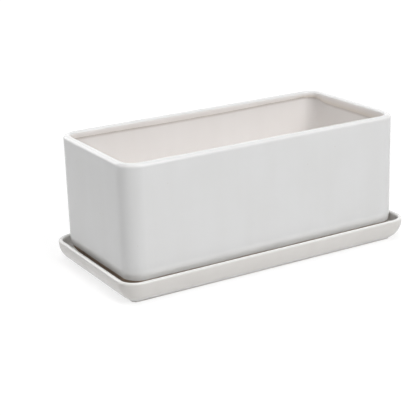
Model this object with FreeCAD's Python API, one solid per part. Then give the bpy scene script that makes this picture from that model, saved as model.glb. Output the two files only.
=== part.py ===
import FreeCAD, Part
import math
import os

os.makedirs("parts", exist_ok=True)

# The planter as it stands: a rectangular pot in a matching saucer.
# X runs along the length, Y along the width, Z up. All sizes are in millimetres.
# The origin is on the table, under the middle of the saucer.
saucer_length = 266.7
saucer_width = 133.35
planter_height = 107.95

# Saucer: a shallow tray whose wall curves up to a short upright lip, rounded over its whole thickness.
# Corner radii are seen from above: of the outside, of the foot and of the flat floor inside.
saucer_height = 19.2
saucer_corner_radius = 15.0
saucer_foot_corner_radius = 4.6
saucer_floor_corner_radius = 1.4
saucer_upright = 0.4
saucer_wall = 3.6
saucer_floor = 4.2
saucer_foot_height = 1.0
saucer_foot_width = 6.0
saucer_hollow_corner_radius = 3.0

# Pot: a slip-cast box with a thicker band round its mouth and a well rounded bottom edge
pot_setback = 7.3
pot_corner_radius = 15.5
pot_foot_corner_radius = 3.0
pot_floor_corner_radius = 1.4
pot_curve_rise = 18.5
pot_wall = 4.6
pot_floor = 5.4
rim_step = 1.0
rim_band_height = 5.5
rim_rounding = 1.5
crease_bevel = 0.5

# Underside of the pot: a flat foot round a shallow hollow with drain holes
pot_foot_width = 8.0
pot_hollow_depth = 1.5
pot_hollow_corner_radius = 4.0
drain_hole_radius = 5.5
drain_hole_spacing = 68.0
drain_hole_count = 3
drain_edge_bevel = 1.2

# One overrun for every cut
cut_overrun = 1.0

# Sizes that follow from those above
pot_length = saucer_length - 2 * pot_setback
pot_width = saucer_width - 2 * pot_setback
seat_height = saucer_foot_height + saucer_floor
saucer_lip_radius = saucer_wall / 2
saucer_foot_inset = saucer_corner_radius - saucer_foot_corner_radius
pot_floor_height = seat_height + pot_floor
pot_foot_inset = pot_corner_radius - pot_foot_corner_radius
pot_floor_inset = pot_corner_radius - pot_floor_corner_radius


def arc(centre_inset, centre_height, radius, start, end):
    """An arc of a wall's section, between two angles in degrees. Inset runs inwards from the wall's outside."""
    points = []
    for angle in (start, (start + end) / 2, end):
        turn = math.radians(angle)
        points.append(FreeCAD.Vector(centre_inset + radius * math.cos(turn), 0,
                                     centre_height + radius * math.sin(turn)))
    return Part.Arc(*points).toShape()


def foot_curve(foot_inset, foot_height, curve_height):
    """The outside of a wall from its foot up, one arc that ends upright at the wall's outside."""
    rise = curve_height - foot_height
    radius = (foot_inset ** 2 + rise ** 2) / (2 * foot_inset)
    foot_angle = 180 + math.degrees(math.atan2(rise, radius - foot_inset))
    return arc(radius, curve_height, radius, foot_angle, 180)


def corner(inset, height):
    """A sharp corner of a wall's section."""
    return Part.Vertex(FreeCAD.Vector(inset, 0, height))


def section_face(steps):
    """The face inside arcs and corners, taken in order and joined by straight lines."""
    edges = []
    for step, following in zip(steps, steps[1:] + steps[:1]):
        if step.Edges:
            edges.append(step)
        end = step.Vertexes[-1].Point
        start = following.Vertexes[0].Point
        if not end.isEqual(start, step.getTolerance(1)):
            edges.append(Part.LineSegment(end, start).toShape())
    return Part.Face(Part.Wire(edges))


def swept_wall(length, width, corner_radius, section):
    """A wall's section carried round a rectangle with rounded corners."""
    spin_axis = FreeCAD.Vector(0, 0, -1)
    pieces = []
    for quarter in range(4):
        across, along = (length, width) if quarter % 2 == 0 else (width, length)
        half_run = along / 2 - corner_radius
        side_start = section.translated(FreeCAD.Vector(-across / 2, -half_run, 0))
        side = side_start.extrude(FreeCAD.Vector(0, 2 * half_run, 0))
        corner_start = section.translated(FreeCAD.Vector(-across / 2, half_run, 0))
        corner_centre = FreeCAD.Vector(corner_radius - across / 2, half_run, 0)
        bend = corner_start.revolve(corner_centre, spin_axis, 90)
        for piece in (side, bend):
            pieces.append(piece.rotated(FreeCAD.Vector(0, 0, 0), spin_axis, 90 * quarter))
    return pieces[0].fuse(pieces[1:])


def rounded_block(length, width, corner_radius, low, high):
    """A block with upright walls and rounded corners between two heights."""
    block = Part.makeBox(length, width, high - low, FreeCAD.Vector(-length / 2, -width / 2, low))
    uprights = []
    for edge in block.Edges:
        if edge.tangentAt(edge.FirstParameter).cross(FreeCAD.Vector(0, 0, 1)).Length < edge.getTolerance(1):
            uprights.append(edge)
    return block.makeFillet(corner_radius, uprights)


def make_saucer():
    """The saucer: a curved wall with a rounded lip, round a floor on a foot ring."""
    lip_height = saucer_height - saucer_lip_radius
    curve_height = lip_height - saucer_upright
    corner_room = saucer_corner_radius - saucer_floor_corner_radius - saucer_wall
    inner_curve = min(corner_room, curve_height - seat_height)
    floor_inset = saucer_wall + inner_curve
    section = section_face([
        foot_curve(saucer_foot_inset, saucer_foot_height, curve_height),
        arc(saucer_lip_radius, lip_height, saucer_lip_radius, 180, 0),
        arc(floor_inset, seat_height + inner_curve, inner_curve, 180, 270),
        corner(floor_inset, saucer_foot_height),
    ])
    wall = swept_wall(saucer_length, saucer_width, saucer_corner_radius, section)
    floor = rounded_block(saucer_length - 2 * floor_inset, saucer_width - 2 * floor_inset,
                          saucer_corner_radius - floor_inset, saucer_foot_height, seat_height)
    foot = rounded_block(saucer_length - 2 * saucer_foot_inset, saucer_width - 2 * saucer_foot_inset,
                         saucer_foot_corner_radius, 0, saucer_foot_height)
    hollow_inset = saucer_foot_inset + saucer_foot_width
    hollow = rounded_block(saucer_length - 2 * hollow_inset, saucer_width - 2 * hollow_inset,
                           saucer_hollow_corner_radius, -cut_overrun, saucer_foot_height)
    return wall.fuse([floor, foot]).cut(hollow).removeSplitter()


def make_pot_wall():
    """The pot's wall: curved foot, upright side, rounded rim and the crease under the rim band."""
    crease_height = planter_height - rim_band_height
    rim_height = planter_height - rim_rounding
    rim_width = pot_wall + rim_step
    inner_curve = pot_floor_inset - pot_wall
    section = section_face([
        foot_curve(pot_foot_inset, seat_height, seat_height + pot_curve_rise),
        arc(rim_rounding, rim_height, rim_rounding, 180, 90),
        arc(rim_width - rim_rounding, rim_height, rim_rounding, 90, 0),
        corner(rim_width, crease_height + crease_bevel),
        corner(rim_width - crease_bevel, crease_height),
        corner(pot_wall, crease_height),
        arc(pot_floor_inset, pot_floor_height + inner_curve, inner_curve, 180, 270),
        corner(pot_floor_inset, seat_height),
    ])
    return swept_wall(pot_length, pot_width, pot_corner_radius, section)


def drain_holes():
    """What the drain holes take away, in a row along the middle of the floor, wider at their upper edges."""
    first = -drain_hole_spacing * (drain_hole_count - 1) / 2
    flare_height = drain_edge_bevel + cut_overrun
    cuts = []
    for number in range(drain_hole_count):
        along = first + number * drain_hole_spacing
        bore_start = FreeCAD.Vector(along, 0, seat_height - cut_overrun)
        flare_start = FreeCAD.Vector(along, 0, pot_floor_height - drain_edge_bevel)
        cuts.append(Part.makeCylinder(drain_hole_radius, pot_floor + 2 * cut_overrun, bore_start))
        cuts.append(Part.makeCone(drain_hole_radius, drain_hole_radius + flare_height, flare_height, flare_start))
    return cuts


def make_pot():
    """The pot: wall and floor in one casting, with a hollow foot and drain holes."""
    floor = rounded_block(pot_length - 2 * pot_floor_inset, pot_width - 2 * pot_floor_inset,
                          pot_floor_corner_radius, seat_height, pot_floor_height)
    hollow_inset = pot_foot_inset + pot_foot_width
    hollow = rounded_block(pot_length - 2 * hollow_inset, pot_width - 2 * hollow_inset,
                           pot_hollow_corner_radius, seat_height - cut_overrun,
                           seat_height + pot_hollow_depth)
    return make_pot_wall().fuse(floor).cut([hollow] + drain_holes()).removeSplitter()


for name, make in (("saucer", make_saucer), ("pot", make_pot)):
    shape = make()
    box = shape.BoundBox
    print(name, "solids", len(shape.Solids), "valid", shape.isValid(), "volume", round(shape.Volume),
          "from", round(box.ZMin, 2), "to", round(box.ZMax, 2))
    shape.Solids[0].exportStep(os.path.join("parts", name + ".step"))
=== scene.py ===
import bpy
import math
from mathutils import Matrix, Vector


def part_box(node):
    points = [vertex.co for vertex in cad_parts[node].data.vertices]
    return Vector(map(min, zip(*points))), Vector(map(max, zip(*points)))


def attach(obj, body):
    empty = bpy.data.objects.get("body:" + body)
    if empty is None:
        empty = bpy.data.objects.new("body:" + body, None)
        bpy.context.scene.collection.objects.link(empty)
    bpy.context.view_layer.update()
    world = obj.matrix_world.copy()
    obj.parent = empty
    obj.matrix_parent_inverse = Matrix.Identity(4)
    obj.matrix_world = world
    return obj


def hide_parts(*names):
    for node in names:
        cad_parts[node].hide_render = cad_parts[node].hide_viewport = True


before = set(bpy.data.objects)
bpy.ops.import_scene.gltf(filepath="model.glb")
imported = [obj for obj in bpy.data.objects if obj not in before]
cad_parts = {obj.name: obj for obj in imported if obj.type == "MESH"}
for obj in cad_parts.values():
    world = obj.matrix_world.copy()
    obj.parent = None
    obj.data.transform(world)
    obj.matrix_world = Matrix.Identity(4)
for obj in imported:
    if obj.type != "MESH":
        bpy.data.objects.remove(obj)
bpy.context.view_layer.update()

# Sizes are in metres. The overall ones come from the frame, the rest are the glazed piece's own.
MM = 0.001
TINY = 0.001 * MM
CLOSE = 10 * TINY
saucer_low, saucer_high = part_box("saucer")
pot_low, pot_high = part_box("pot")
seat_height = pot_low.z

# Pot
pot_corner_radius = 15.5 * MM
pot_foot_inset = 12.5 * MM
pot_curve_rise = 18.5 * MM
pot_wall = 4.6 * MM
pot_floor_height = seat_height + 5.4 * MM
pot_floor_inset = 13.5 * MM
pot_foot_width = 8.0 * MM
pot_hollow_depth = 1.5 * MM
pot_hollow_corner_radius = 4.0 * MM
rim_width = 5.6 * MM
rim_outer_rounding = 3.0 * MM
rim_inner_rounding = 1.8 * MM
band_height = 5.5 * MM
band_lower_rounding = 0.5 * MM
drain_hole_radius = 5.5 * MM
drain_hole_spacing = 68.0 * MM
drain_hole_flare = 1.2 * MM
drain_hole_count = 3

# The crease under the pot's rim band. Vertices within crease_wander of its height follow its
# rise, sag and drop, the lowest of them crease_fade under its fillet. crease_sag_share is how
# much of the back wall's half length sags.
crease_fillet = 0.5 * MM
crease_fade = 2.0 * MM
crease_wander = 2.9 * MM
back_crease_rise = 0.7 * MM
back_crease_sag = 0.9 * MM
crease_sag_share = 0.8
end_crease_drop = 2.95 * MM
crease_waviness = 0.6 * MM
crease_wave_size = 12 * MM

# Saucer
saucer_corner_radius = 15.0 * MM
saucer_foot_inset = 10.4 * MM
saucer_foot_height = 1.0 * MM
saucer_foot_width = 6.0 * MM
saucer_hollow_corner_radius = 3.0 * MM
saucer_wall = 3.6 * MM
saucer_upright = 0.4 * MM
saucer_floor_inset = 13.6 * MM

# Heights that follow
pot_hollow_height = seat_height + pot_hollow_depth
crease_height = pot_high.z - band_height
band_edge_height = crease_height + band_lower_rounding

# How finely the pieces are divided. A face is flat when its normal points at least FLAT up or
# down. A corner radius of ROUND times half a square's side makes the square a circle. EASE is
# where the middle of a small rounding lies, as a share of its radius.
FLAT = 0.9
ROUND = 0.9999
EASE = 0.3
corner_steps = 20
long_side_cuts = 47
short_side_cuts = 17
curve_steps = 14
rounding_steps = 7
hole_corner_steps = 12
support = 0.5 * MM
edge_softness = 0.35 * MM
smooth_angle = math.radians(35)

# Colours of glaze and clay, some of them painted light and shade: red, green, blue and alpha
pot_white = (0.795, 0.797, 0.797, 1)
# The pot's inside is a lighter, warmer copy of its glaze: the warmth is its own, the extra
# lightness is painted light
pot_inner_lit_white = (0.94, 0.914, 0.899, 1)
# The saucer's outside is a darker copy of its glaze than its inside: painted shade
saucer_outer_shaded_white = (0.757, 0.736, 0.712, 1)
saucer_inner_white = (0.83, 0.825, 0.81, 1)
# A lighter white for a band low on the outside walls: painted bounce light from table and saucer
bounce_light_white = (0.93, 0.925, 0.915, 1)
thin_tint = (0.975, 0.972, 0.967, 1)
thick_tint = (1, 1, 1, 1)
speck_colour = (0.45, 0.36, 0.27, 1)
edge_colour = (0.72, 0.66, 0.58, 1)
band_edge_colour = (0.70, 0.60, 0.46, 1)
# Painted shade in the crease under the rim band
crease_shade_colour = (0.46, 0.40, 0.34, 1)
# Bare clay, which on the pot also stands as painted contact shadow up its lower curve
dark_clay_and_shade = (0.26, 0.19, 0.14, 1)
light_clay_and_shade = (0.40, 0.30, 0.23, 1)

# How much of each colour shows where its mask is full
# The lighter band low on the outside walls is painted bounce light
bounce_light_share = 0.9
speck_share = 0.35
edge_share = 0.05
band_edge_share = 0.10
right_band_edge_share = 0.38
# Painted shade in the crease
crease_shade_share = 0.42

# Where the glaze differs. Densities of the glaze are counts per patch, the others per metre.
patch_size = 45 * MM
run_stretch = 0.14
run_density = 4.0
run_share = 0.35
slow_ripple_density = 1.6
fine_ripple_density = 14.0
fine_ripple_share = 0.07
speck_density = 5.0
speck_rarity = 0.8
band_wave_density = 60.0
# How wavy the upper edge of the painted bounce light is
bounce_light_waviness = 3 * MM
clay_cloud_density = 180.0
clay_grain_density = 1800.0

# How glossy, grainy and rippled the surfaces are
thin_roughness = 0.20
thick_roughness = 0.13
clay_roughness = 0.85
clay_grain_share = 0.6
relief_strength = 0.55
relief_depth = 0.3 * MM

# Table and room. The table's glow is what shows of it besides its shaded white.
table_size = 12.0
table_gap = 0.05 * MM
table_white = (0.86, 0.86, 0.86, 1)
glow_strength = 1.25
near_glow_share = 0.6
far_glow_share = 0.8
near_glow_reach = 0.4
far_glow_reach = 1.6
room_white = (1, 1, 1, 1)
room_light = 0.1
room_brightness = 1.6
lamp_aim = Vector((0, 0, 50 * MM))


def pick(piece, kind, test):
    """Selects the vertices, edges or faces that pass a test and leaves the piece in edit mode."""
    bpy.ops.object.mode_set(mode="EDIT")
    bpy.ops.mesh.select_mode(type=kind)
    bpy.ops.mesh.select_all(action="DESELECT")
    bpy.ops.object.mode_set(mode="OBJECT")
    mesh = piece.data
    if kind == "VERT":
        for vertex in mesh.vertices:
            vertex.select = test(vertex.co)
    elif kind == "EDGE":
        for edge in mesh.edges:
            start, end = (mesh.vertices[i].co for i in edge.vertices)
            edge.select = test(start, end)
    else:
        for face in mesh.polygons:
            face.select = test(face.center, face.normal)
    bpy.ops.object.mode_set(mode="EDIT")


def arc(centre_inset, centre_height, radius, start, end, steps):
    """Points along an arc of a wall's section, without its start. Inset runs in from outside."""
    points = []
    for step in range(1, steps + 1):
        turn = math.radians(start + (end - start) * step / steps)
        inset = centre_inset + radius * math.cos(turn)
        points.append((inset, centre_height + radius * math.sin(turn)))
    return points


def foot_curve(foot_inset, foot_height, curve_height):
    """The outside of a wall from where it is upright down to its foot, as one arc."""
    rise = curve_height - foot_height
    radius = (foot_inset**2 + rise**2) / (2 * foot_inset)
    foot_angle = 180 + math.degrees(math.atan2(rise, radius - foot_inset))
    return arc(radius, curve_height, radius, 180, foot_angle, curve_steps)


def rounded_block(name, low, high, corner_radius):
    """A block with rounded upright corners, its four sides divided along their length."""
    bpy.ops.object.select_all(action="DESELECT")
    size = high - low
    bpy.ops.mesh.primitive_cube_add(size=1, location=(low + high) / 2)
    block = bpy.context.object
    block.name = name
    block.data.name = name
    block.scale = size
    bpy.ops.object.transform_apply(location=True, rotation=True, scale=True)
    pick(block, "EDGE", lambda a, b: abs(a.z - b.z) > size.z / 2)
    bpy.ops.mesh.bevel(offset=corner_radius, segments=corner_steps, affect="EDGES")
    pick(block, "EDGE", lambda a, b: abs(a.x - b.x) > size.x / 2)
    bpy.ops.mesh.subdivide(number_cuts=long_side_cuts)
    pick(block, "EDGE", lambda a, b: abs(a.y - b.y) > size.y / 2)
    bpy.ops.mesh.subdivide(number_cuts=short_side_cuts)
    for up in (1, -1):
        pick(block, "FACE", lambda centre, normal: normal.z * up > FLAT)
        bpy.ops.mesh.dissolve_faces()
    return block


def facing(height, up):
    """A test for the flat faces at a height that face up (1) or down (-1)."""
    return lambda centre, normal: abs(centre.z - height) < TINY and normal.z * up > FLAT


def carry_face(half_sides, up, start, points):
    """Carries the chosen flat face through a wall's section, a loop of faces for each point."""
    inset, height = start
    for next_inset, next_height in points:
        step = next_inset - inset
        rise = next_height - height
        if step > TINY:
            bpy.ops.mesh.inset(thickness=step, depth=rise * up, use_even_offset=True)
        else:
            bpy.ops.mesh.extrude_region_move(TRANSFORM_OT_translate={"value": (0, 0, rise)})
        if step < -TINY:
            widen = [(half - next_inset) / (half - inset) for half in half_sides]
            centre = (0, 0, next_height)
            bpy.ops.transform.resize(value=(*widen, 1), center_override=centre)
        inset, height = next_inset, next_height


def mark_out(piece, middle, half_sides, corner_radius, up):
    """Cuts a rectangle with rounded corners out of a flat face and leaves it chosen."""

    def in_middle(centre, normal):
        return (centre - middle).length < CLOSE and normal.z * up > FLAT

    for axis, half in enumerate(half_sides):
        direction = Vector((axis == 0, axis == 1, 0))
        for side in (-1, 1):
            pick(piece, "FACE", facing(middle.z, up))
            bpy.ops.mesh.bisect(plane_co=middle + direction * half * side, plane_no=direction)
    pick(piece, "FACE", in_middle)
    bpy.ops.mesh.select_mode(type="VERT")
    bpy.ops.mesh.bevel(offset=corner_radius, segments=hole_corner_steps, affect="VERTICES")
    bpy.ops.mesh.remove_doubles(threshold=CLOSE)
    pick(piece, "FACE", in_middle)


def raise_hollow(piece, half_sides, corner_radius, foot_height, hollow_height):
    """The shallow hollow inside a foot, with softened edges."""
    mark_out(piece, Vector((0, 0, foot_height)), half_sides, corner_radius, -1)
    carry_face(half_sides, -1, (0, foot_height), [
        (EASE * edge_softness, foot_height + EASE * edge_softness),
        (edge_softness, hollow_height - edge_softness),
        (2 * edge_softness, hollow_height),
        (3 * edge_softness, hollow_height),
    ])
    bpy.ops.object.mode_set(mode="OBJECT")


def pot_outside(curve_height):
    """The pot's section from its upright outside down to its foot."""
    points = [(0, curve_height)]
    points += foot_curve(pot_foot_inset, seat_height, curve_height)
    return points + [(pot_foot_inset + edge_softness, seat_height)]


def pot_inside(outer_height):
    """The pot's section from its outside over the rim, past band and crease, to its floor."""
    inner_height = pot_high.z - rim_inner_rounding
    inner_inset = rim_width - rim_inner_rounding
    inner_curve = pot_floor_inset - pot_wall
    curve_top = pot_floor_height + inner_curve
    points = [(0, outer_height)]
    points += arc(rim_outer_rounding, outer_height, rim_outer_rounding, 180, 90, rounding_steps)
    points += [(inner_inset, pot_high.z)]
    points += arc(inner_inset, inner_height, rim_inner_rounding, 90, 0, rounding_steps)
    points += [
        (rim_width, inner_height - support),
        (rim_width, band_edge_height),
        (rim_width - EASE * band_lower_rounding, crease_height + EASE * band_lower_rounding),
        (rim_width - band_lower_rounding, crease_height),
        (pot_wall + EASE * crease_fillet, crease_height - EASE * crease_fillet),
        (pot_wall, crease_height - crease_fillet),
        (pot_wall, crease_height - crease_fillet - crease_fade),
        (pot_wall, curve_top + support),
        (pot_wall, curve_top),
    ]
    points += arc(pot_floor_inset, curve_top, inner_curve, 180, 270, curve_steps)
    return points + [(pot_floor_inset + edge_softness, pot_floor_height)]


def make_pot():
    """The pot: from a block at mid wall down to foot and hollow, then over the rim and down."""
    curve_height = seat_height + pot_curve_rise
    outer_height = pot_high.z - rim_outer_rounding
    block_low = Vector((pot_low.x, pot_low.y, curve_height + support))
    block_high = Vector((pot_high.x, pot_high.y, outer_height - support))
    half_sides = pot_high.xy
    pot = rounded_block("glazed_pot", block_low, block_high, pot_corner_radius)
    pick(pot, "FACE", facing(block_low.z, -1))
    carry_face(half_sides, -1, (0, block_low.z), pot_outside(curve_height))
    hollow_inset = pot_foot_inset + pot_foot_width
    hollow_sides = [half - hollow_inset for half in half_sides]
    raise_hollow(pot, hollow_sides, pot_hollow_corner_radius, seat_height, pot_hollow_height)
    pick(pot, "FACE", facing(block_high.z, 1))
    carry_face(half_sides, 1, (0, block_high.z), pot_inside(outer_height))
    bpy.ops.object.mode_set(mode="OBJECT")
    mark_heights(pot, "crease", crease_height - crease_fillet, crease_height)
    mark_heights(pot, "band edge", crease_height, band_edge_height)
    shape_crease(pot)
    cut_drain_holes(pot)
    return pot


def mark_heights(piece, name, low, high):
    """Sets an attribute to one on the vertices between two heights, for the glaze to read."""
    mark = piece.data.attributes.new(name, "FLOAT", "POINT")
    for vertex, point in zip(piece.data.vertices, mark.data):
        point.value = low - TINY < vertex.co.z < high + TINY


def lift(piece, test, rise, falloff, reach):
    """Raises the vertices that pass a test, and those within reach by less the further off."""
    pick(piece, "VERT", test)
    bpy.ops.transform.translate(value=(0, 0, rise), use_proportional_edit=True,
                                proportional_edit_falloff=falloff, proportional_size=reach)


def shape_crease(pot):
    """The crease as cast by hand: higher at the back's right, low at the right end, uneven."""
    back = pot_high.y - rim_width - TINY
    end = pot_high.x - rim_width - TINY
    corner = pot_high.x - pot_corner_radius
    end_corner = back - pot_corner_radius

    def in_crease(co):
        return abs(co.z - crease_height) < crease_wander

    def at_back(co):
        return in_crease(co) and co.y > back

    def at_end(co):
        return in_crease(co) and co.x > end

    pick(pot, "VERT", lambda co: at_back(co) or at_end(co))
    bpy.ops.mesh.hide(unselected=True)
    lift(pot, lambda co: at_back(co) and abs(co.x - corner) < support,
         back_crease_rise, "LINEAR", 2 * corner)
    lift(pot, lambda co: at_back(co) and abs(co.x) < pot_corner_radius,
         -back_crease_sag, "SMOOTH", crease_sag_share * corner)
    bpy.ops.mesh.reveal(select=False)
    pick(pot, "VERT", in_crease)
    bpy.ops.mesh.hide(unselected=True)
    lift(pot, lambda co: at_end(co) and abs(co.y) < end_corner,
         -end_crease_drop, "SMOOTH", pot_corner_radius)
    bpy.ops.mesh.reveal(select=False)
    group = pot.vertex_groups.new(name="hand-cast part")
    pick(pot, "VERT", in_crease)
    bpy.ops.object.vertex_group_assign()
    bpy.ops.object.mode_set(mode="OBJECT")
    clouds = bpy.data.textures.new("slip unevenness", "CLOUDS")
    clouds.noise_scale = crease_wave_size
    bpy.ops.object.modifier_add(type="DISPLACE")
    wave = pot.modifiers[-1]
    wave.texture = clouds
    wave.texture_coords = "LOCAL"
    wave.direction = "Z"
    wave.strength = crease_waviness
    wave.vertex_group = group.name
    bpy.ops.object.modifier_apply(modifier=wave.name)
    bpy.ops.object.vertex_group_remove(all=True)


def cut_drain_holes(pot):
    """The drain holes in the pot's floor, each flared where the glaze rounds its upper edge."""
    flared_radius = drain_hole_radius + drain_hole_flare
    bore_top = pot_floor_height - drain_hole_flare
    flare = arc(0, bore_top, drain_hole_flare, 90, 0, rounding_steps)
    for number in range(drain_hole_count):
        along = drain_hole_spacing * (number - (drain_hole_count - 1) / 2)
        below = Vector((along, 0, pot_hollow_height))
        above = Vector((along, 0, pot_floor_height))
        ends = (below, Vector((along, 0, bore_top)))
        mark_out(pot, below, [drain_hole_radius] * 2, ROUND * drain_hole_radius, -1)
        mark_out(pot, above, [flared_radius] * 2, ROUND * flared_radius, 1)
        carry_face([flared_radius] * 2, 1, (0, pot_floor_height), flare)
        pick(pot, "FACE", lambda centre, normal: min((centre - e).length for e in ends) < CLOSE)
        bpy.ops.mesh.bridge_edge_loops()
    bpy.ops.object.mode_set(mode="OBJECT")


def make_saucer():
    """The saucer: from a low block in its wall down to its foot ring, then over the lip."""
    lip_radius = saucer_wall / 2
    lip_height = saucer_high.z - lip_radius
    curve_height = lip_height - saucer_upright
    block_low = Vector((saucer_low.x, saucer_low.y, curve_height))
    block_high = Vector((saucer_high.x, saucer_high.y, lip_height))
    half_sides = saucer_high.xy
    saucer = rounded_block("glazed_saucer", block_low, block_high, saucer_corner_radius)
    outside = foot_curve(saucer_foot_inset, saucer_foot_height, curve_height)
    outside += [
        (saucer_foot_inset + EASE * edge_softness, edge_softness),
        (saucer_foot_inset + edge_softness, 0),
        (saucer_foot_inset + 2 * edge_softness, 0),
    ]
    pick(saucer, "FACE", facing(block_low.z, -1))
    carry_face(half_sides, -1, (0, curve_height), outside)
    hollow_inset = saucer_foot_inset + saucer_foot_width
    hollow_sides = [half - hollow_inset for half in half_sides]
    raise_hollow(saucer, hollow_sides, saucer_hollow_corner_radius, 0, saucer_foot_height)
    inner_curve = saucer_floor_inset - saucer_wall
    curve_top = seat_height + inner_curve
    inside = arc(lip_radius, lip_height, lip_radius, 180, 0, 2 * rounding_steps)
    inside += [(saucer_wall, lip_height - support), (saucer_wall, curve_top)]
    inside += arc(saucer_floor_inset, curve_top, inner_curve, 180, 270, curve_steps)
    inside += [(saucer_floor_inset + edge_softness, seat_height)]
    pick(saucer, "FACE", facing(block_high.z, 1))
    carry_face(half_sides, 1, (0, lip_height), inside)
    bpy.ops.object.mode_set(mode="OBJECT")
    return saucer


def finish_piece(piece, body, node, material):
    """Shades a finished piece smooth, gives it its glaze and seats it in the frame."""
    bpy.ops.object.select_all(action="DESELECT")
    bpy.context.view_layer.objects.active = piece
    piece.select_set(True)
    bpy.ops.object.shade_smooth_by_angle(angle=smooth_angle)
    piece.data.materials.clear()
    piece.data.materials.append(material)
    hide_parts(node)
    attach(piece, body)


def new_material(name):
    """An empty node material and its node tree."""
    material = bpy.data.materials.new(name)
    material.use_nodes = True
    material.node_tree.nodes.clear()
    return material, material.node_tree


def add(tree, kind, inputs, **settings):
    """A node with its settings; each input takes a value, or another node's output."""
    made = tree.nodes.new("ShaderNode" + kind)
    for name, value in settings.items():
        setattr(made, name, value)
    for name, value in inputs.items():
        if isinstance(value, bpy.types.NodeSocket):
            tree.links.new(value, made.inputs[name])
        else:
            made.inputs[name].default_value = value
    return made


def compute(tree, operation, first, second):
    """A sum, product or other result of two values."""
    return add(tree, "Math", {0: first, 1: second}, operation=operation).outputs[0]


def product(tree, first, second):
    """Two values multiplied."""
    return compute(tree, "MULTIPLY", first, second)


def fade(tree, value, start, end):
    """A mask that goes smoothly from zero at start to one at end."""
    inputs = {"Value": value, "From Min": start, "From Max": end}
    return add(tree, "MapRange", inputs, interpolation_type="SMOOTHSTEP").outputs["Result"]


def blend(tree, mask, first, second, how="MIX"):
    """One colour where the mask is zero, the other, or both mixed as told, where it is one."""
    # A Mix node takes its two colours at inputs 6 and 7 and its two values at 2 and 3
    inputs = {0: mask, 6: first, 7: second}
    return add(tree, "Mix", inputs, data_type="RGBA", blend_type=how).outputs[2]


def blend_values(tree, mask, first, second):
    """One value where the mask is zero, the other where it is one."""
    return add(tree, "Mix", {0: mask, 2: first, 3: second}, data_type="FLOAT").outputs[0]


def noise(tree, coordinates, scale, detail):
    """A cloudy value."""
    inputs = {"Vector": coordinates, "Scale": scale, "Detail": detail}
    return add(tree, "TexNoise", inputs).outputs["Fac"]


def height_of(tree, coordinates):
    """How high a place lies, or how far up a normal points."""
    return add(tree, "SeparateXYZ", {0: coordinates}).outputs["Z"]


def new_group(name, inputs, outputs):
    """An empty node group with named inputs and outputs."""
    group = bpy.data.node_groups.new(name, "ShaderNodeTree")
    for label, kind in inputs.items():
        group.interface.new_socket(label, in_out="INPUT", socket_type="NodeSocket" + kind)
    for label in outputs:
        group.interface.new_socket(label, in_out="OUTPUT", socket_type="NodeSocketFloat")
    enter = group.nodes.new("NodeGroupInput")
    leave = group.nodes.new("NodeGroupOutput")
    return group, enter.outputs, leave.inputs


def make_unevenness():
    """How a dipped glaze varies: patches, runs down the walls, a fine ripple, a few specks."""
    inputs = {"Coordinates": "Vector", "Patch size": "Float"}
    group, given, result = new_group("glaze unevenness", inputs, ("Tone", "Ripple", "Specks"))
    coordinates = given["Coordinates"]
    per_patch = compute(group, "DIVIDE", 1.0, given["Patch size"])
    patches = noise(group, coordinates, per_patch, detail=2.0)
    stretch = {"Vector": coordinates, "Scale": (1.0, 1.0, run_stretch)}
    stretched = add(group, "Mapping", stretch).outputs[0]
    runs = noise(group, stretched, product(group, per_patch, run_density), detail=1.0)
    both = compute(group, "ADD", product(group, patches, 1 - run_share),
                   product(group, runs, run_share))
    group.links.new(fade(group, both, start=0.3, end=0.7), result["Tone"])
    slow = noise(group, coordinates, product(group, per_patch, slow_ripple_density), detail=0.0)
    fine = noise(group, coordinates, product(group, per_patch, fine_ripple_density), detail=1.0)
    ripple = compute(group, "ADD", slow, product(group, fine, fine_ripple_share))
    group.links.new(ripple, result["Ripple"])
    spread = {"Vector": coordinates, "Scale": product(group, per_patch, speck_density)}
    cells = add(group, "TexVoronoi", spread).outputs
    near = fade(group, cells["Distance"], start=0.055, end=0.02)
    chance = add(group, "SeparateColor", {0: cells["Color"]}).outputs[0]
    chosen = compute(group, "GREATER_THAN", chance, speck_rarity)
    group.links.new(product(group, near, chosen), result["Specks"])
    return group


def make_height_band():
    """A mask that is one below a height, with a soft and slightly wavy upper border."""
    inputs = {"Coordinates": "Vector", "Full below": "Float", "None above": "Float",
              "Waviness": "Float"}
    group, given, result = new_group("height band", inputs, ("Mask",))
    cloud = noise(group, given["Coordinates"], band_wave_density, detail=2.0)
    wave = product(group, compute(group, "SUBTRACT", cloud, 0.5), given["Waviness"])
    height = compute(group, "ADD", height_of(group, given["Coordinates"]), wave)
    group.links.new(fade(group, height, given["None above"], given["Full below"]), result["Mask"])
    return group


def make_inside():
    """A mask of the surfaces that face a vessel's own middle, and of its floor."""
    inputs = {"Coordinates": "Vector", "Normal": "Vector", "Lowest": "Float", "Highest": "Float"}
    group, given, result = new_group("inside of a vessel", inputs, ("Mask",))
    across = {0: given["Coordinates"], 1: (1.0, 1.0, 0.0)}
    level = add(group, "VectorMath", across, operation="MULTIPLY").outputs[0]
    against = {0: level, 1: given["Normal"]}
    outward = add(group, "VectorMath", against, operation="DOT_PRODUCT").outputs["Value"]
    inward = fade(group, outward, start=-2 * MM, end=-20 * MM)
    upward = fade(group, height_of(group, given["Normal"]), start=0.3, end=0.8)
    facing_in = compute(group, "MAXIMUM", inward, upward)
    height = height_of(group, given["Coordinates"])
    above = compute(group, "GREATER_THAN", height, given["Lowest"])
    below = fade(group, height, given["Highest"], compute(group, "SUBTRACT", given["Highest"], MM))
    mask = product(group, facing_in, product(group, above, below))
    group.links.new(mask, result["Mask"])
    return group


def make_bare_clay():
    """Fired clay without glaze: a cloudy tone for its colour and a fine grain for its surface."""
    inputs = {"Coordinates": "Vector"}
    group, given, result = new_group("bare clay", inputs, ("Tone", "Grain"))
    tone = noise(group, given["Coordinates"], clay_cloud_density, detail=3.0)
    grain = noise(group, given["Coordinates"], clay_grain_density, detail=2.0)
    group.links.new(tone, result["Tone"])
    group.links.new(grain, result["Grain"])
    return group


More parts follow.
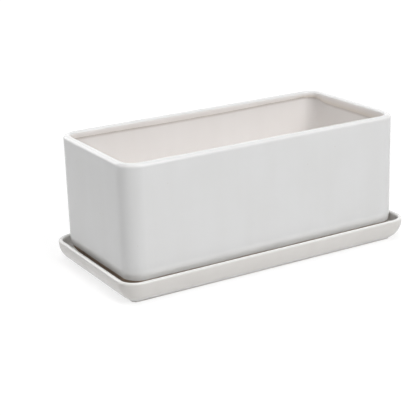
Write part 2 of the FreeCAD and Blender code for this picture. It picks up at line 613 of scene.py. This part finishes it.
def mark_rim(tree, coordinates, tone):
    """A tan tint on the rim band's lower edge, stronger at the right end, and painted shade in the
    crease under it.
    """
    along = add(tree, "SeparateXYZ", {0: coordinates}).outputs["X"]
    right_end = fade(tree, along, start=100 * MM, end=112 * MM)
    share = blend_values(tree, right_end, band_edge_share, right_band_edge_share)
    band_edge = add(tree, "Attribute", {}, attribute_name="band edge").outputs["Fac"]
    tone = blend(tree, product(tree, band_edge, share), tone, band_edge_colour)
    # Painted shade in the crease under the band
    crease = add(tree, "Attribute", {}, attribute_name="crease").outputs["Fac"]
    return blend(tree, product(tree, crease, crease_shade_share), tone, crease_shade_colour)


def glaze(name, colour, inner_colour, inside_heights, clay_and_shade_heights, clay_and_shade_waviness, bounce_light_heights,
          rim_marks):
    """Glossy white glaze over brown clay, bare at the foot, with painted light and shade: lit and
    shaded copies inside and outside, a painted band of bounce light low on the outside, on the pot
    clay reaching up as painted contact shadow, and with rim marks painted shade in the crease.
    """
    material, tree = new_material(name)
    place = add(tree, "TexCoord", {}).outputs
    here = {"Coordinates": place["Object"]}
    uneven = add(tree, "Group", here | {"Patch size": patch_size}, node_tree=unevenness).outputs
    clay = add(tree, "Group", here, node_tree=bare_clay).outputs
    within = {"Normal": place["Normal"], "Lowest": inside_heights[0], "Highest": inside_heights[1]}
    inside = add(tree, "Group", here | within, node_tree=inside_of_vessel).outputs["Mask"]
    outside = compute(tree, "SUBTRACT", 1.0, inside)

    def outside_below(heights, waviness):
        band = {"Full below": heights[0], "None above": heights[1], "Waviness": waviness}
        mask = add(tree, "Group", here | band, node_tree=height_band).outputs["Mask"]
        return product(tree, mask, outside)

    # Bare clay at the foot; on the pot it reaches up the lower curve as painted contact shadow
    # between pot and saucer
    bare = outside_below(clay_and_shade_heights, clay_and_shade_waviness)
    # A lighter band above it: painted bounce light from table and saucer
    bounce_lit = outside_below(bounce_light_heights, bounce_light_waviness)
    # Inside and outside take lighter and darker copies of one glaze: painted light and shade
    tone = blend(tree, inside, colour, inner_colour)
    tint = blend(tree, uneven["Tone"], thin_tint, thick_tint)
    tone = blend(tree, 1.0, tone, tint, how="MULTIPLY")
    tone = blend(tree, product(tree, bounce_lit, bounce_light_share), tone, bounce_light_white)
    tone = blend(tree, product(tree, uneven["Specks"], speck_share), tone, speck_colour)
    pointiness = add(tree, "NewGeometry", {}).outputs["Pointiness"]
    edge = fade(tree, pointiness, start=0.53, end=0.62)
    tone = blend(tree, product(tree, edge, edge_share), tone, edge_colour)
    if rim_marks:
        tone = mark_rim(tree, place["Object"], tone)
    tone = blend(tree, bare, tone, blend(tree, clay["Tone"], dark_clay_and_shade, light_clay_and_shade))
    glossy = blend_values(tree, uneven["Tone"], thin_roughness, thick_roughness)
    roughness = blend_values(tree, bare, glossy, clay_roughness)
    ripple = product(tree, uneven["Ripple"], compute(tree, "SUBTRACT", 1.0, bare))
    grain = product(tree, clay["Grain"], product(tree, bare, clay_grain_share))
    relief = {"Strength": relief_strength, "Distance": relief_depth,
              "Height": compute(tree, "ADD", ripple, grain)}
    normal = add(tree, "Bump", relief).outputs[0]
    surface = {"Base Color": tone, "Roughness": roughness, "Normal": normal}
    shader = add(tree, "BsdfPrincipled", surface).outputs[0]
    add(tree, "OutputMaterial", {"Surface": shader})
    return material


def seen_directly(tree):
    """One for camera, mirror and see-through rays, zero for those that only bring light."""
    path = add(tree, "LightPath", {}).outputs
    seen = compute(tree, "MAXIMUM", path["Is Camera Ray"], path["Is Glossy Ray"])
    return compute(tree, "MAXIMUM", seen, path["Is Transmission Ray"])


def make_floor():
    """A wide table top that takes the planter's shadow and runs out into the room's white."""
    bpy.ops.object.select_all(action="DESELECT")
    bpy.ops.mesh.primitive_plane_add(size=table_size, location=(0, 0, -table_gap))
    floor = bpy.context.object
    floor.name = "floor"
    bpy.ops.object.transform_apply(location=True, rotation=True, scale=True)
    material, tree = new_material("white table")
    place = add(tree, "TexCoord", {}).outputs["Object"]
    distance = add(tree, "VectorMath", {0: place}, operation="LENGTH").outputs["Value"]
    far = fade(tree, distance, near_glow_reach, far_glow_reach)
    glowing = blend_values(tree, far, near_glow_share, far_glow_share)
    share = product(tree, seen_directly(tree), glowing)
    shaded = add(tree, "BsdfDiffuse", {"Color": table_white}).outputs[0]
    glow = add(tree, "Emission", {"Strength": glow_strength}).outputs[0]
    mixed = add(tree, "MixShader", {0: share, 1: shaded, 2: glow}).outputs[0]
    add(tree, "OutputMaterial", {"Surface": mixed})
    floor.data.materials.append(material)


def make_world():
    """An even studio room: bright white where it is seen, softer in the light that it gives."""
    world = bpy.data.worlds.new("studio")
    bpy.context.scene.world = world
    world.use_nodes = True
    tree = world.node_tree
    tree.nodes.clear()
    light, white = (
        add(tree, "Background", {"Color": room_white, "Strength": strength}).outputs[0]
        for strength in (room_light, room_brightness)
    )
    mixed = add(tree, "MixShader", {0: seen_directly(tree), 1: light, 2: white}).outputs[0]
    add(tree, "OutputWorld", {"Surface": mixed})


def soft_box(name, place, size, watts):
    """A square studio lamp that faces the planter."""
    lamp = bpy.data.lights.new(name, "AREA")
    lamp.size = size
    lamp.energy = watts
    holder = bpy.data.objects.new(name, lamp)
    bpy.context.scene.collection.objects.link(holder)
    holder.location = place
    holder.rotation_euler = (lamp_aim - Vector(place)).to_track_quat("-Z", "Y").to_euler()


def make_camera():
    """The camera, at the photograph's place, angle and slight tilt."""
    target = Vector((-43.36, -35.23, 54.0)) * MM
    distance = 941.1 * MM
    azimuth = math.radians(-30.13)
    elevation = math.radians(18.56)
    roll = math.radians(-1.91)
    back = Vector((
        math.sin(azimuth) * math.cos(elevation),
        -math.cos(azimuth) * math.cos(elevation),
        math.sin(elevation),
    ))
    level = Vector((math.cos(azimuth), math.sin(azimuth), 0))
    upright = back.cross(level)
    right = level * math.cos(roll) + upright * math.sin(roll)
    up = upright * math.cos(roll) - level * math.sin(roll)
    camera = bpy.data.cameras.new("camera")
    camera.lens = 104.01
    camera.sensor_width = 36
    camera.clip_start = 0.05
    camera.clip_end = 50
    holder = bpy.data.objects.new("camera", camera)
    bpy.context.scene.collection.objects.link(holder)
    turn = Matrix((right, up, back)).transposed().to_4x4()
    holder.matrix_world = Matrix.Translation(target + back * distance) @ turn
    bpy.context.scene.camera = holder


unevenness = make_unevenness()
height_band = make_height_band()
inside_of_vessel = make_inside()
bare_clay = make_bare_clay()
pot_glaze = glaze(
    "pot glaze", pot_white, pot_inner_lit_white, inside_heights=(9 * MM, 107.2 * MM),
    # Clay up to about 17 mm, behind the saucer's lip: a bare foot below, painted contact shadow
    # above
    clay_and_shade_heights=(16.6 * MM, 17.5 * MM), clay_and_shade_waviness=1.0 * MM,
    # A lighter band up to about 27 mm: painted bounce light from table and saucer
    bounce_light_heights=(20 * MM, 27 * MM), rim_marks=True)
saucer_glaze = glaze(
    "saucer glaze", saucer_outer_shaded_white, saucer_inner_white, inside_heights=(4 * MM, 20 * MM),
    clay_and_shade_heights=(0.25 * MM, 0.5 * MM), clay_and_shade_waviness=0.1 * MM,
    # A lighter band low on the saucer's outside: painted bounce light from the table
    bounce_light_heights=(2 * MM, 5 * MM), rim_marks=False)
finish_piece(make_pot(), "pot", "pot", pot_glaze)
finish_piece(make_saucer(), "saucer", "saucer", saucer_glaze)

make_floor()
make_world()
# Each lamp: its place and width in metres, its strength in watts
soft_box("front light", (0.4, -1.8, 1.35), 1.2, 21.5)
soft_box("left light", (-1.3, 0.55, 0.3), 0.5, 1.2)
soft_box("top light", (-0.1, -0.3, 2.0), 1.4, 23)
soft_box("back light", (-0.7, 1.8, 1.0), 1.2, 10)
make_camera()
bpy.context.scene.view_settings.view_transform = "Standard"
